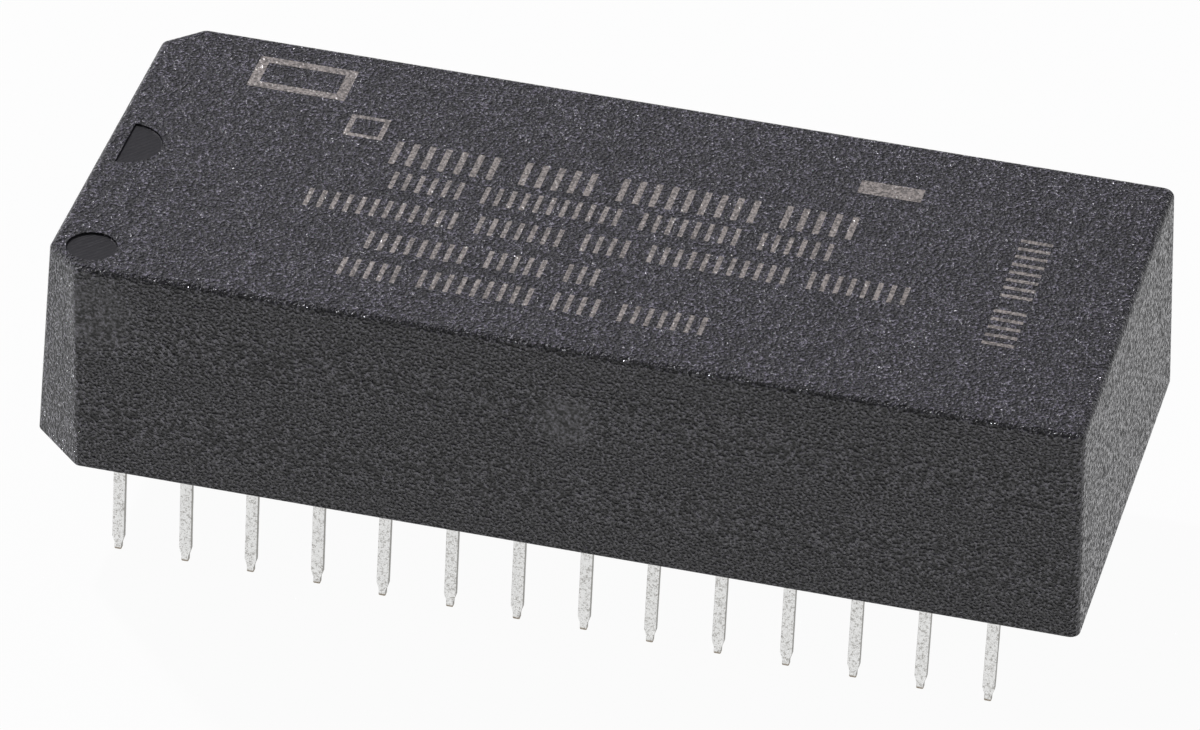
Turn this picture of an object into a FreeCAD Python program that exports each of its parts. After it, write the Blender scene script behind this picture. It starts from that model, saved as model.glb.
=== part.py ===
import FreeCAD, Part
import math
import os
import re

import Sketcher
from FreeCAD import Placement, Rotation, Vector

# Battery-backed memory module in a 28-lead dual-in-line package.
# A moulded chip package sits in a drafted plastic cap, with a lithium button cell lying on it.
# Potting fills the cap around both, and only the leads come out below.
#
# The origin is on the board side, midway between the lead rows, at the level of the lead tips.
# X runs along the lead rows, away from the pin 1 end. Z points up, towards the cap's top.

# Sizes in millimetres and degrees, with what each one measures
SIZES = {
    "pins_per_side": (14, "leads in one row"),
    "lead_pitch": (2.54, "lead to lead along a row"),
    "row_spacing": (15.24, "row to row, at the middle of the leads' thickness"),
    "lead_length": (3.70, "seating plane to lead tip"),
    "standoff": (0.60, "seating plane to the cap's rim"),
    "lead_thickness": (0.25, "lead frame strip thickness"),
    "shoulder_width": (1.40, "wide part of a lead"),
    "shoulder_bevel": (0.15, "bevel under a shoulder's corners"),
    "blade_width": (0.46, "narrow part of a lead"),
    "bend_radius": (0.25, "inside radius of the lead's bend"),
    "tip_taper": (0.27, "height of the tapered run above the tip"),
    "tip_stub": (0.24, "height of the narrow tip"),
    "tip_width": (0.27, "width of the narrow tip"),
    "cover_gap": (0.48, "upper cell tab to the underside of the cap's top"),
    "cap_end_margin": (3.33, "end lead's centre to the cap's end, at the rim"),
    "cap_side_margin": (1.45, "lead row to the cap's side, at the rim"),
    "end_draft": (3.05, "lean of the end walls, degrees"),
    "side_draft": (1.70, "lean of the side walls, degrees"),
    "wall": (0.90, "cap wall thickness"),
    "roof": (0.90, "cap top thickness"),
    "corner_cut": (2.02, "leg of the corner bevels at the pin 1 end, at the rim"),
    "corner_radius": (0.40, "rounding of the square corners"),
    "bevel_radius": (0.30, "rounding of the bevelled corners' edges"),
    "top_radius": (0.25, "rounding round the top"),
    "dimple_diameter": (1.88, "pin 1 dimple"),
    "dimple_inset": (1.54, "dimple centre to the top's two nearest edges"),
    "notch_radius": (1.40, "half-round notch mark"),
    "notch_inset": (0.70, "notch mark's straight side to the top's end"),
    "mark_depth": (0.12, "depth of the dimple and the notch mark"),
    "potting_recess": (0.45, "rim to the potting's underside"),
    "package_recess": (0.25, "rim to the chip package's underside"),
    "package_lower": (1.95, "chip package below the lead frame's middle"),
    "package_upper": (2.00, "chip package above the lead frame's middle"),
    "package_end_margin": (1.85, "end lead's centre to the chip package's end"),
    "package_draft": (7.0, "lean of the chip package's walls, degrees"),
    "shoulder_reach": (0.24, "chip package's side to the start of the lead's bend"),
    "ejector_diameter": (2.20, "ejector marks under the chip package"),
    "ejector_spacing": (12.5, "middle ejector mark to the outer ones"),
    "ejector_depth": (0.08, "depth of the ejector marks"),
    "anchor": (0.50, "length of shoulder inside the chip package"),
    "finger_width": (0.40, "lead fingers inside the package"),
    "finger_stub": (0.90, "straight run of a finger at the package's side"),
    "finger_tip": (0.80, "straight run of a finger at its bonded end"),
    "finger_gap": (0.30, "fingers' ends to the die paddle"),
    "side_tip_pitch": (1.30, "finger ends along the paddle's long sides"),
    "end_tip_pitch": (0.70, "finger ends along the paddle's short sides"),
    "paddle_length": (10.4, "die paddle along X"),
    "paddle_width": (6.80, "die paddle along Y"),
    "tie_width": (0.60, "tie bars at the paddle's ends"),
    "tie_trim": (0.10, "tie bars' cut ends beyond the package"),
    "die_length": (7.60, "silicon die along X"),
    "die_width": (4.90, "silicon die along Y"),
    "die_thickness": (0.38, "silicon die"),
    "bond_inset": (0.20, "bonds to the edge of the die and to the fingers' ends"),
    "bond_rise": (0.18, "height that a bond wire goes up before it leans"),
    "bond_drop": (0.11, "height that a bond wire comes down to its finger"),
    "wire_diameter": (0.03, "gold bond wire"),
    "well_end_margin": (2.95, "battery wells' centre to the package's end"),
    "well_offset": (2.30, "battery wells' centre to the middle plane"),
    "well_length": (2.50, "battery wells along X"),
    "well_width": (2.30, "battery wells along Y"),
    "landing_margin": (0.30, "battery lead's landing beyond its well, all round"),
    "cell_diameter": (12.5, "button cell"),
    "cell_height": (2.50, "button cell"),
    "cell_gap": (0.12, "package top to the lower tab"),
    "cell_end_gap": (2.60, "battery wells' centre to the cell's edge"),
    "can_wall": (0.25, "cell can's sheet"),
    "can_bevel": (0.15, "bevel round the can's closed end"),
    "gasket_wall": (0.20, "gasket between the can and the lid"),
    "crimp_reach": (0.55, "can's crimped lip over the lid's flange"),
    "lid_wall": (0.22, "cell lid's sheet"),
    "lid_step": (0.25, "lid's crown beyond the crimped lip"),
    "lid_groove": (0.15, "crimped lip to the lid's crown"),
    "lid_flange": (0.80, "height of the lid's flange"),
    "separator_thickness": (0.10, "separator between the cathode and the anode"),
    "tab_thickness": (0.15, "nickel tab strip"),
    "tab_width": (1.60, "nickel tab strip"),
    "tab_bend": (0.20, "bevelled bends of the tabs, at the middle of the strip"),
    "tab_foot": (0.90, "tab's foot on the battery lead"),
    "tab_overlap": (3.60, "tab's welded length over the cell's edge"),
}

# Leads of each corner whose fingers go to a short side of the paddle
END_LEADS = 3

# Two points or directions that differ by less are taken as the same
TOLERANCE = 1e-6

doc = FreeCAD.newDocument("memory_module")
sheet = doc.addObject("Spreadsheet::Sheet", "Sizes")
for row, (alias, (size, meaning)) in enumerate(SIZES.items(), 1):
    sheet.set(f"A{row}", meaning)
    sheet.set(f"B{row}", str(size))
    sheet.setAlias(f"B{row}", alias)
doc.recompute()

PINS_PER_SIDE = int(sheet.pins_per_side)


def formula(text):
    """Return the text with each size's name written as a reference to its cell."""
    return re.sub(r"[a-z_]+", lambda word: ("Sizes." if word.group() in SIZES else "") + word.group(), text)


def bind(thing, **formulas):
    for name, text in formulas.items():
        thing.setExpression(name, formula(text))


def place(thing, x="0", y="0", z="0", turn=0):
    thing.Placement = Placement(Vector(), Rotation(Vector(0, 0, 1), turn))
    for axis, text in zip("xyz", (x, y, z)):
        thing.setExpression("Placement.Base." + axis, formula(text))


def new_body(label):
    body = doc.addObject("PartDesign::Body", label)
    body.Label = label
    return body


def own_plane(body, role):
    return next(part for part in body.Origin.OriginFeatures if part.Role == role)


def new_sketch(body, name, plane="XY_Plane", depth="0", rise="0"):
    """Sketch on one of the body's own planes, moved along its normal and its second axis."""
    sketch = body.newObject("Sketcher::SketchObject", f"{body.Name}_{name}")
    sketch.AttachmentSupport = [(own_plane(body, plane), "")]
    sketch.MapMode = "FlatFace"
    sketch.setExpression("AttachmentOffset.Base.z", formula(depth))
    sketch.setExpression("AttachmentOffset.Base.y", formula(rise))
    return sketch


def hold(sketch, kind, value, *target):
    """Add a dimension, at the value that the drawn geometry has, and tie it to a formula."""
    drawn, text = value
    number = sketch.addConstraint(Sketcher.Constraint(kind, *target, drawn))
    sketch.setExpression(f"Constraints[{number}]", formula(text))


def hold_point(sketch, edge, end, x, y):
    drawn = sketch.getPoint(edge, end)
    hold(sketch, "DistanceX", (drawn.x, x), -1, 1, edge, end)
    hold(sketch, "DistanceY", (drawn.y, y), -1, 1, edge, end)


def draw_lines(sketch, points, closed=True):
    """Straight sides through points given as pairs of formulas.

    They are drawn round a unit circle, and their dimensions then move them into place.
    """
    count = len(points)
    turns = [math.tau * (i + 1 / 3) / count for i in range(count)]
    drawn = [Vector(math.cos(turn), math.sin(turn), 0) for turn in turns]
    sides = count if closed else count - 1
    lines = [sketch.addGeometry(Part.LineSegment(drawn[i], drawn[(i + 1) % count]), False)
             for i in range(sides)]
    for i in range(sides if closed else sides - 1):
        sketch.addConstraint(Sketcher.Constraint("Coincident", lines[i], 2, lines[(i + 1) % sides], 1))
    for line, (x, y) in zip(lines, points):
        hold_point(sketch, line, 1, x, y)
    if not closed:
        hold_point(sketch, lines[-1], 2, *points[-1])


def draw_rectangle(sketch, half_x, half_y, x="0", y="0"):
    left, right = f"{x} - ({half_x})", f"{x} + ({half_x})"
    near, far = f"{y} - ({half_y})", f"{y} + ({half_y})"
    draw_lines(sketch, [(left, near), (right, near), (right, far), (left, far)])


def draw_circle(sketch, radius, x="0", y="0"):
    circle = sketch.addGeometry(Part.Circle(Vector(1, 1, 0), Vector(0, 0, 1), 1), False)
    hold_point(sketch, circle, 3, x, y)
    hold(sketch, "Radius", (1, radius), circle)


def add_feature(body, kind, name, profile, **formulas):
    feature = body.newObject(f"PartDesign::{kind}", f"{body.Name}_{name}")
    feature.Profile = profile
    bind(feature, **formulas)
    return feature


def round_edges(body, base, name, radius, wanted):
    doc.recompute()
    edges = [f"Edge{i}" for i, edge in enumerate(base.Shape.Edges, 1) if wanted(edge)]
    feature = body.newObject("PartDesign::Fillet", f"{body.Name}_{name}")
    feature.Base = (base, edges)
    bind(feature, Radius=radius)
    return feature


def sweep_strip(body, name, path, profile):
    feature = body.newObject("PartDesign::AdditivePipe", f"{body.Name}_{name}")
    feature.Profile = profile
    feature.Spine = (path, [f"Edge{i + 1}" for i in range(len(path.Shape.Edges))])
    feature.Transition = "Right corner"
    return feature


# Levels above the lead tips, and half sizes at the level of the cap's rim
RIM_LEVEL = "(lead_length + standoff)"
FRAME_LEVEL = f"({RIM_LEVEL} + package_recess + package_lower)"
CELL_LEVEL = f"({FRAME_LEVEL} + package_upper + cell_gap + tab_thickness)"
CAP_HEIGHT = f"({CELL_LEVEL} + cell_height + tab_thickness + cover_gap + roof - {RIM_LEVEL})"
ROW_HALF = "((pins_per_side - 1) / 2 * lead_pitch)"
CAP_HALF_LENGTH = f"({ROW_HALF} + cap_end_margin)"
CAP_HALF_WIDTH = "(row_spacing / 2 + cap_side_margin)"
PACKAGE_HALF_LENGTH = f"({ROW_HALF} + package_end_margin)"
BEND_OFFSET = "(bend_radius + lead_thickness / 2)"
PACKAGE_HALF_WIDTH = f"(row_spacing / 2 - {BEND_OFFSET} - shoulder_reach)"
WELL_X = f"(well_end_margin - {PACKAGE_HALF_LENGTH})"
FIRST_FINGER_Y = "(tie_width / 2 + finger_gap + finger_width / 2)"


def cap_outline(body, name, level="0", inset="0"):
    """The cap's outline at its rim, with both corners bevelled at the pin 1 end.

    An inset moves all six walls in by the same distance.
    """
    sketch = new_sketch(body, name, depth=level)
    half_length = f"({CAP_HALF_LENGTH} - {inset})"
    half_width = f"({CAP_HALF_WIDTH} - {inset})"
    cut = f"(corner_cut - {inset} * (2 - sqrt(2)))"
    draw_lines(sketch, [
        (f"{cut} - {half_length}", f"-{half_width}"),
        (half_length, f"-{half_width}"),
        (half_length, half_width),
        (f"{cut} - {half_length}", half_width),
        (f"-{half_length}", f"{half_width} - {cut}"),
        (f"-{half_length}", f"{cut} - {half_width}"),
    ])
    return sketch


def lean_walls(body, base, hollow=False):
    """Draft a feature's upright end and side walls about the rim. The bevels stay upright."""
    for wall, angle, axis in (("ends", "end_draft", 0), ("sides", "side_draft", 1)):
        doc.recompute()
        faces = [f"Face{i}" for i, face in enumerate(base.Shape.Faces, 1)
                 if abs(face.normalAt(0, 0)[axis]) > 1 - TOLERANCE]
        draft = body.newObject("PartDesign::Draft", f"{base.Name}_{wall}")
        draft.Base = (base, faces)
        draft.NeutralPlane = (own_plane(body, "XY_Plane"), [""])
        draft.Reversed = hollow
        bind(draft, Angle=angle)
        base = draft
    return base


def upright(edge):
    low, high = sorted(vertex.Point.z for vertex in edge.Vertexes)
    return high - low > edge.Length / 2


def make_cap():
    """Moulded cap: a drafted shell, open below, with two marks sunk in its top."""
    body = new_body("cap")
    place(body, z=RIM_LEVEL)
    block = lean_walls(body, add_feature(body, "Pad", "block", cap_outline(body, "rim"), Length=CAP_HEIGHT))
    corners = round_edges(body, block, "corners", "corner_radius",
                          lambda edge: upright(edge) and edge.CenterOfMass.x > 0)
    bevels = round_edges(body, corners, "bevels", "bevel_radius",
                         lambda edge: upright(edge) and edge.CenterOfMass.x < 0)
    doc.recompute()
    top = max(vertex.Point.z for vertex in bevels.Shape.Vertexes)
    round_edges(body, bevels, "top_edge", "top_radius",
                lambda edge: all(top - vertex.Point.z < TOLERANCE for vertex in edge.Vertexes))
    cavity = add_feature(body, "Pocket", "cavity", cap_outline(body, "mouth", inset="wall"),
                         Length=f"{CAP_HEIGHT} - roof")
    cavity.Reversed = True
    lean_walls(body, cavity, hollow=True)
    top_half_length = f"({CAP_HALF_LENGTH} - {CAP_HEIGHT} * tan(end_draft))"
    top_half_width = f"({CAP_HALF_WIDTH} - {CAP_HEIGHT} * tan(side_draft))"
    dimple = new_sketch(body, "dimple", depth=CAP_HEIGHT)
    draw_circle(dimple, "dimple_diameter / 2", f"dimple_inset - {top_half_length}",
                f"dimple_inset - {top_half_width}")
    add_feature(body, "Pocket", "dimple_pocket", dimple, Length="mark_depth")
    notch = new_sketch(body, "notch", depth=CAP_HEIGHT)
    arc = notch.addGeometry(Part.ArcOfCircle(Part.Circle(), -math.pi / 2, math.pi / 2), False)
    side = notch.addGeometry(Part.LineSegment(Vector(0, 1, 0), Vector(0, -1, 0)), False)
    notch.addConstraint(Sketcher.Constraint("Coincident", arc, 2, side, 1))
    notch.addConstraint(Sketcher.Constraint("Coincident", side, 2, arc, 1))
    notch.addConstraint(Sketcher.Constraint("Vertical", side))
    notch.addConstraint(Sketcher.Constraint("PointOnObject", arc, 3, side))
    hold_point(notch, arc, 3, f"notch_inset - {top_half_length}", "0")
    hold(notch, "Radius", (1, "notch_radius"), arc)
    add_feature(body, "Pocket", "notch_pocket", notch, Length="mark_depth")
    return body


def make_package_moulding():
    """Moulded chip package before the parts inside it are taken out of it.

    Its two halves lean in from the parting line at the lead frame's middle. Two wells at the
    pin 1 end open down to the battery leads. The mould's ejectors leave marks underneath.
    """
    body = new_body("package_moulding")
    place(body, z=FRAME_LEVEL)
    for name, height in (("upper", "package_upper"), ("lower", "package_lower")):
        outline = new_sketch(body, name + "_outline")
        draw_rectangle(outline, PACKAGE_HALF_LENGTH, PACKAGE_HALF_WIDTH)
        half = add_feature(body, "Pad", name + "_half", outline, Length=height, TaperAngle="-package_draft")
        half.Reversed = name == "lower"
    wells = new_sketch(body, "wells", depth="package_upper")
    for side in ("-", ""):
        draw_rectangle(wells, "well_length / 2", "well_width / 2", WELL_X, f"{side}well_offset")
    add_feature(body, "Pocket", "well_pocket", wells, Length="package_upper - lead_thickness / 2")
    marks = new_sketch(body, "ejector_marks", depth="-package_lower")
    for x in ("-ejector_spacing", "0", "ejector_spacing"):
        draw_circle(marks, "ejector_diameter / 2", x)
    ejectors = add_feature(body, "Pocket", "ejector_pocket", marks, Length="ejector_depth")
    ejectors.Reversed = True
    return body


def strip_section(body, name, width, plane="XZ_Plane", depth="0", rise="0", thickness="lead_thickness"):
    section = new_sketch(body, name, plane, depth, rise)
    draw_rectangle(section, f"{width} / 2", f"{thickness} / 2")
    return section


def make_lead(number):
    """One lead: a finger inside the package, a shoulder, a bend and a blade with a tapered tip.

    The lead's own origin is where it leaves the package, at the strip's middle. Y points
    into the package. The far row is the near row turned half round.
    """
    body = new_body(f"pin_{number:02d}")
    place_in_row = (number - 1) % PINS_PER_SIDE
    offset = f"({place_in_row} - (pins_per_side - 1) / 2)"
    if number <= PINS_PER_SIDE:
        place(body, f"{offset} * lead_pitch", f"-{PACKAGE_HALF_WIDTH}", FRAME_LEVEL)
    else:
        place(body, f"-{offset} * lead_pitch", PACKAGE_HALF_WIDTH, FRAME_LEVEL, turn=180)

    from_end = min(place_in_row, PINS_PER_SIDE - 1 - place_in_row)
    if from_end < END_LEADS:
        side = "-" if place_in_row == from_end else "+"
        tip_x = f"0 {side} (paddle_length / 2 + finger_gap)"
        knee_x = f"{tip_x} {side} finger_tip"
        tip_y = knee_y = f"{PACKAGE_HALF_WIDTH} - {FIRST_FINGER_Y} - ({from_end} + 1) * end_tip_pitch"
    else:
        tip_x = knee_x = f"{offset} * side_tip_pitch"
        tip_y = f"{PACKAGE_HALF_WIDTH} - paddle_width / 2 - finger_gap"
        knee_y = f"{tip_y} - finger_tip"
    path = new_sketch(body, "finger_path")
    draw_lines(path, [("0", "0"), ("0", "finger_stub"), (f"{knee_x} - {offset} * lead_pitch", knee_y),
                      (f"{tip_x} - {offset} * lead_pitch", tip_y)], closed=False)
    section = strip_section(body, "finger_section", "finger_width")
    doc.recompute([path, section])
    sweep_strip(body, "finger", path, section)

    shoulder = new_sketch(body, "shoulder_outline", depth="-lead_thickness / 2")
    draw_rectangle(shoulder, "shoulder_width / 2", "(anchor + shoulder_reach) / 2",
                   y="(anchor - shoulder_reach) / 2")
    add_feature(body, "Pad", "shoulder", shoulder, Length="lead_thickness")

    bend = new_sketch(body, "bend_outline", "YZ_Plane", "-shoulder_width / 2")
    inside = [("bend_radius", angle) for angle in (0, 45, 90)]
    outside = [("(bend_radius + lead_thickness)", angle) for angle in (90, 45, 0)]
    draw_lines(bend, [(f"-shoulder_reach - {radius} * sin({angle})", f"{radius} * cos({angle}) - {BEND_OFFSET}")
                      for radius, angle in inside + outside])
    add_feature(body, "Pad", "bend", bend, Length="shoulder_width")

    seat = "-(standoff + package_recess + package_lower)"
    tip = f"{seat} - lead_length"
    right_side = [
        ("shoulder_width / 2", f"-{BEND_OFFSET}"),
        ("shoulder_width / 2", f"{seat} + shoulder_bevel"),
        ("shoulder_width / 2 - shoulder_bevel", seat),
        ("blade_width / 2", seat),
        ("blade_width / 2", f"{tip} + tip_stub + tip_taper"),
        ("tip_width / 2", f"{tip} + tip_stub"),
        ("tip_width / 2", tip),
    ]
    left_side = [(f"-{x}" if x.count("-") == 0 else f"-({x})", y) for x, y in reversed(right_side)]
    blade = new_sketch(body, "blade_outline", "XZ_Plane", "shoulder_reach + bend_radius")
    draw_lines(blade, right_side + left_side)
    add_feature(body, "Pad", "blade", blade, Length="lead_thickness")
    return body


def make_battery_lead(label, side):
    """Strip from a battery well to the paddle's short side, all of it inside the package."""
    body = new_body(label)
    place(body, WELL_X, f"{side}well_offset", FRAME_LEVEL)
    half_length = "well_length / 2 + landing_margin"
    path = new_sketch(body, "strip_path")
    tip_x = f"-(paddle_length / 2 + finger_gap) - {WELL_X}"
    turn = "+" if side == "-" else "-"
    tip_y = f"{turn}(well_offset - {FIRST_FINGER_Y})"
    draw_lines(path, [(half_length, "0"), (f"{half_length} + finger_stub", "0"),
                      (f"{tip_x} - finger_tip", tip_y), (tip_x, tip_y)], closed=False)
    section = strip_section(body, "strip_section", "finger_width", "YZ_Plane", half_length)
    doc.recompute([path, section])
    sweep_strip(body, "strip", path, section)
    landing = new_sketch(body, "landing_outline", depth="-lead_thickness / 2")
    draw_rectangle(landing, half_length, "well_width / 2 + landing_margin")
    add_feature(body, "Pad", "landing", landing, Length="lead_thickness")
    return body


def make_die_paddle():
    """Pad under the die, with a tie bar to each end of the package."""
    body = new_body("die_paddle")
    place(body, z=FRAME_LEVEL)
    outline = new_sketch(body, "paddle_outline", depth="-lead_thickness / 2")
    end = f"({PACKAGE_HALF_LENGTH} + tie_trim)"
    corner = [("paddle_length / 2", "paddle_width / 2"), ("paddle_length / 2", "tie_width / 2"),
              (end, "tie_width / 2")]
    right = corner + [(x, f"-{y}") for x, y in reversed(corner)]
    left = [(f"-{x}", f"-{y}") for x, y in corner] + [(f"-{x}", y) for x, y in reversed(corner)]
    draw_lines(outline, right + left)
    add_feature(body, "Pad", "pad", outline, Length="lead_thickness")
    return body


def make_die():
    die = doc.addObject("Part::Box", "die")
    bind(die, Length="die_length", Width="die_width", Height="die_thickness")
    place(die, "-die_length / 2", "-die_width / 2", f"{FRAME_LEVEL} + lead_thickness / 2")
    return die


def bond_wire(foot, head, rise, drop, radius):
    """Four-sided wire that rises from its foot on the die, leans over and comes down on its head."""
    path = Part.makePolygon([foot, foot + Vector(0, 0, rise), head + Vector(0, 0, drop), head])
    corners = [Vector(radius, 0, 0), Vector(0, radius, 0), Vector(-radius, 0, 0), Vector(0, -radius, 0)]
    section = Part.makePolygon([foot + corner for corner in corners + corners[:1]])
    sweep = Part.BRepOffsetAPI.MakePipeShell(path)
    sweep.setTransitionMode(1)
    sweep.add(section)
    sweep.build()
    sweep.makeSolid()
    return sweep.shape()


def make_bond_wires():
    """Gold wires from pads along the die's edge to the end of every finger and battery lead."""
    size = {alias: float(getattr(sheet, alias)) for alias in SIZES}
    frame_top = (size["lead_length"] + size["standoff"] + size["package_recess"] + size["package_lower"]
                 + size["lead_thickness"] / 2)
    heads = []
    first_row = size["tie_width"] / 2 + size["finger_gap"] + size["finger_width"] / 2
    end_x = size["paddle_length"] / 2 + size["finger_gap"] + size["bond_inset"]
    side_y = size["paddle_width"] / 2 + size["finger_gap"] + size["bond_inset"]
    for row in range(END_LEADS):
        y = first_row + (row + 1) * size["end_tip_pitch"]
        heads += [(sx * end_x, sy * y) for sx in (-1, 1) for sy in (-1, 1)]
    heads += [(-end_x, side * first_row) for side in (-1, 1)]
    middle = (PINS_PER_SIDE - 1) / 2
    for place_in_row in range(END_LEADS, PINS_PER_SIDE - END_LEADS):
        heads += [((place_in_row - middle) * size["side_tip_pitch"], side * side_y) for side in (-1, 1)]
    pad_x = size["die_length"] / 2 - size["bond_inset"]
    pad_y = size["die_width"] / 2 - size["bond_inset"]
    wires = []
    for x, y in heads:
        foot = Vector(x * pad_x / end_x, y * pad_y / side_y, frame_top + size["die_thickness"])
        wires.append(bond_wire(foot, Vector(x, y, frame_top), size["bond_rise"], size["bond_drop"],
                               size["wire_diameter"] / 2))
    feature = doc.addObject("Part::Feature", "bond_wires")
    feature.Shape = Part.makeCompound(wires)
    return feature


# Levels and radii inside the cell, which lies lid down with its own origin under the lid
CELL_R = "(cell_diameter / 2)"
CUP_R = f"({CELL_R} - can_wall)"
FLANGE_R = f"({CUP_R} - gasket_wall)"
LIP_R = f"({FLANGE_R} - crimp_reach)"
CROWN_R = f"({LIP_R} - lid_groove)"
FLANGE_Z = "(lid_step + can_wall + gasket_wall)"
CUP_Z = "(cell_height - can_wall)"
ANODE_TOP = f"({FLANGE_Z} + lid_wall)"
CELL_X = f"({WELL_X} + cell_end_gap + {CELL_R})"


def make_turned(label, points):
    """Round piece of the cell, turned from half a section."""
    body = new_body(label)
    place(body, CELL_X, z=CELL_LEVEL)
    section = new_sketch(body, "section", "XZ_Plane")
    draw_lines(section, points)
    turned = add_feature(body, "Revolution", "turned", section)
    turned.ReferenceAxis = (section, ["V_Axis"])
    turned.Angle = 360
    return body


def make_cell():
    """Lithium button cell: can, gasket, lid, and the cathode, separator and anode inside."""
    can = make_turned("cell_can", [
        ("0", CUP_Z), ("0", "cell_height"), (f"{CELL_R} - can_bevel", "cell_height"),
        (CELL_R, "cell_height - can_bevel"), (CELL_R, "lid_step"), (LIP_R, "lid_step"),
        (LIP_R, "lid_step + can_wall"),
        (CUP_R, "lid_step + can_wall"), (CUP_R, CUP_Z)])
    gasket = make_turned("cell_gasket", [
        (LIP_R, "lid_step + can_wall"), (CUP_R, "lid_step + can_wall"), (CUP_R, CUP_Z),
        (f"{FLANGE_R} - lid_wall", CUP_Z), (f"{FLANGE_R} - lid_wall", f"{FLANGE_Z} + lid_flange"),
        (FLANGE_R, f"{FLANGE_Z} + lid_flange"), (FLANGE_R, FLANGE_Z), (LIP_R, FLANGE_Z)])
    lid = make_turned("cell_lid", [
        ("0", "0"), (CROWN_R, "0"), (CROWN_R, FLANGE_Z), (FLANGE_R, FLANGE_Z),
        (FLANGE_R, f"{FLANGE_Z} + lid_flange"),
        (f"{FLANGE_R} - lid_wall", f"{FLANGE_Z} + lid_flange"), (f"{FLANGE_R} - lid_wall", ANODE_TOP),
        (f"{CROWN_R} - lid_wall", ANODE_TOP), (f"{CROWN_R} - lid_wall", "lid_wall"), ("0", "lid_wall")])
    stack = [
        ("cell_anode", f"{CROWN_R} - lid_wall", "lid_wall", ANODE_TOP),
        ("cell_separator", f"{FLANGE_R} - lid_wall", ANODE_TOP, f"{ANODE_TOP} + separator_thickness"),
        ("cell_cathode", f"{FLANGE_R} - lid_wall", f"{ANODE_TOP} + separator_thickness", CUP_Z),
    ]
    discs = []
    for label, disc_radius, lower, upper in stack:
        disc = doc.addObject("Part::Cylinder", label)
        bind(disc, Radius=disc_radius, Height=f"{upper} - ({lower})")
        place(disc, CELL_X, z=f"{CELL_LEVEL} + {lower}")
        discs.append(disc)
    return [can, gasket, lid] + discs


def make_cell_tab(label, side, level):
    """Nickel strip welded flat to the cell, bent down into a well and welded to its battery lead.

    Its own origin is on the battery lead, in the middle of the well.
    """
    body = new_body(label)
    landing = f"({FRAME_LEVEL} + lead_thickness / 2)"
    place(body, WELL_X, f"{side}well_offset", landing)
    start = "cell_end_gap + tab_overlap"
    weld_z = f"({level} - {landing})"
    foot_z = "tab_thickness / 2"
    bend_x = "tab_foot / 2"
    path = new_sketch(body, "strip_path", "XZ_Plane")
    draw_lines(path, [(start, weld_z), (f"{bend_x} + tab_bend", weld_z), (bend_x, f"{weld_z} - tab_bend"),
                      (bend_x, f"{foot_z} + tab_bend"), (f"{bend_x} - tab_bend", foot_z),
                      (f"-{bend_x} - tab_bend", foot_z)], closed=False)
    section = strip_section(body, "strip_section", "tab_width", "YZ_Plane", start, weld_z, "tab_thickness")
    doc.recompute([path, section])
    sweep_strip(body, "strip", path, section)
    return body


def group(name, members):
    compound = doc.addObject("Part::Compound", name)
    compound.Links = members
    return compound


def cut_out(name, base, tools):
    """Take each tool out of the base in turn, and name the last cut."""
    for i, tool in enumerate(tools, 1):
        cut = doc.addObject("Part::Cut", name if i == len(tools) else f"{name}_cut_{i}")
        cut.Base = base
        cut.Tool = tool
        cut.Refine = False
        base = cut
    return base


cap = make_cap()
leads = [make_lead(number) for number in range(1, 2 * PINS_PER_SIDE + 1)]
battery_leads = [
    make_battery_lead("battery_lead_positive", ""),
    make_battery_lead("battery_lead_negative", "-"),
]
die_paddle = make_die_paddle()
die = make_die()
bond_wires = make_bond_wires()
cell = make_cell()
tabs = [
    make_cell_tab("cell_tab_positive", "", f"{CELL_LEVEL} + cell_height + tab_thickness / 2"),
    make_cell_tab("cell_tab_negative", "-", f"{CELL_LEVEL} - tab_thickness / 2"),
]

# The chip package is moulded round the lead frame, the die and its wires
moulding = make_package_moulding()
all_leads = group("all_leads", leads)
both_battery_leads = group("both_battery_leads", battery_leads)
package = cut_out("ic_body", moulding, [die_paddle, die, both_battery_leads, all_leads, bond_wires])

# The potting is poured round the package and the cell, and stops just short of the rim
potting_block = new_body("potting_block")
place(potting_block, z=RIM_LEVEL)
lean_walls(potting_block, add_feature(potting_block, "Pad", "fill",
                                      cap_outline(potting_block, "surface", "potting_recess", "wall"),
                                      Length=f"{CAP_HEIGHT} - roof - potting_recess"))
whole_cell = doc.addObject("Part::MultiFuse", "whole_cell")
whole_cell.Shapes = cell
both_tabs = group("both_tabs", tabs)
potting = cut_out("potting", potting_block, [moulding, whole_cell, both_tabs, die_paddle, all_leads])

nodes = [cap, potting, package, die_paddle, die, bond_wires] + battery_leads + cell + tabs + leads
doc.recompute()

faults = [thing.Name for thing in doc.Objects if "Invalid" in thing.State or "Error" in thing.State]
faults += [node.Name for node in nodes if node.Shape.isNull() or not node.Shape.isValid()]
if faults:
    raise RuntimeError("failed objects: " + ", ".join(faults))

os.makedirs("parts", exist_ok=True)
for node in nodes:
    node.Shape.exportStep(f"parts/{node.Label}.step")
    print(f"{node.Label}: {len(node.Shape.Solids)} solid, {node.Shape.Volume:.4f} cubic mm")
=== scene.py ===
import math

import bmesh
import bpy
from mathutils import Matrix, Vector, noise


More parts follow.
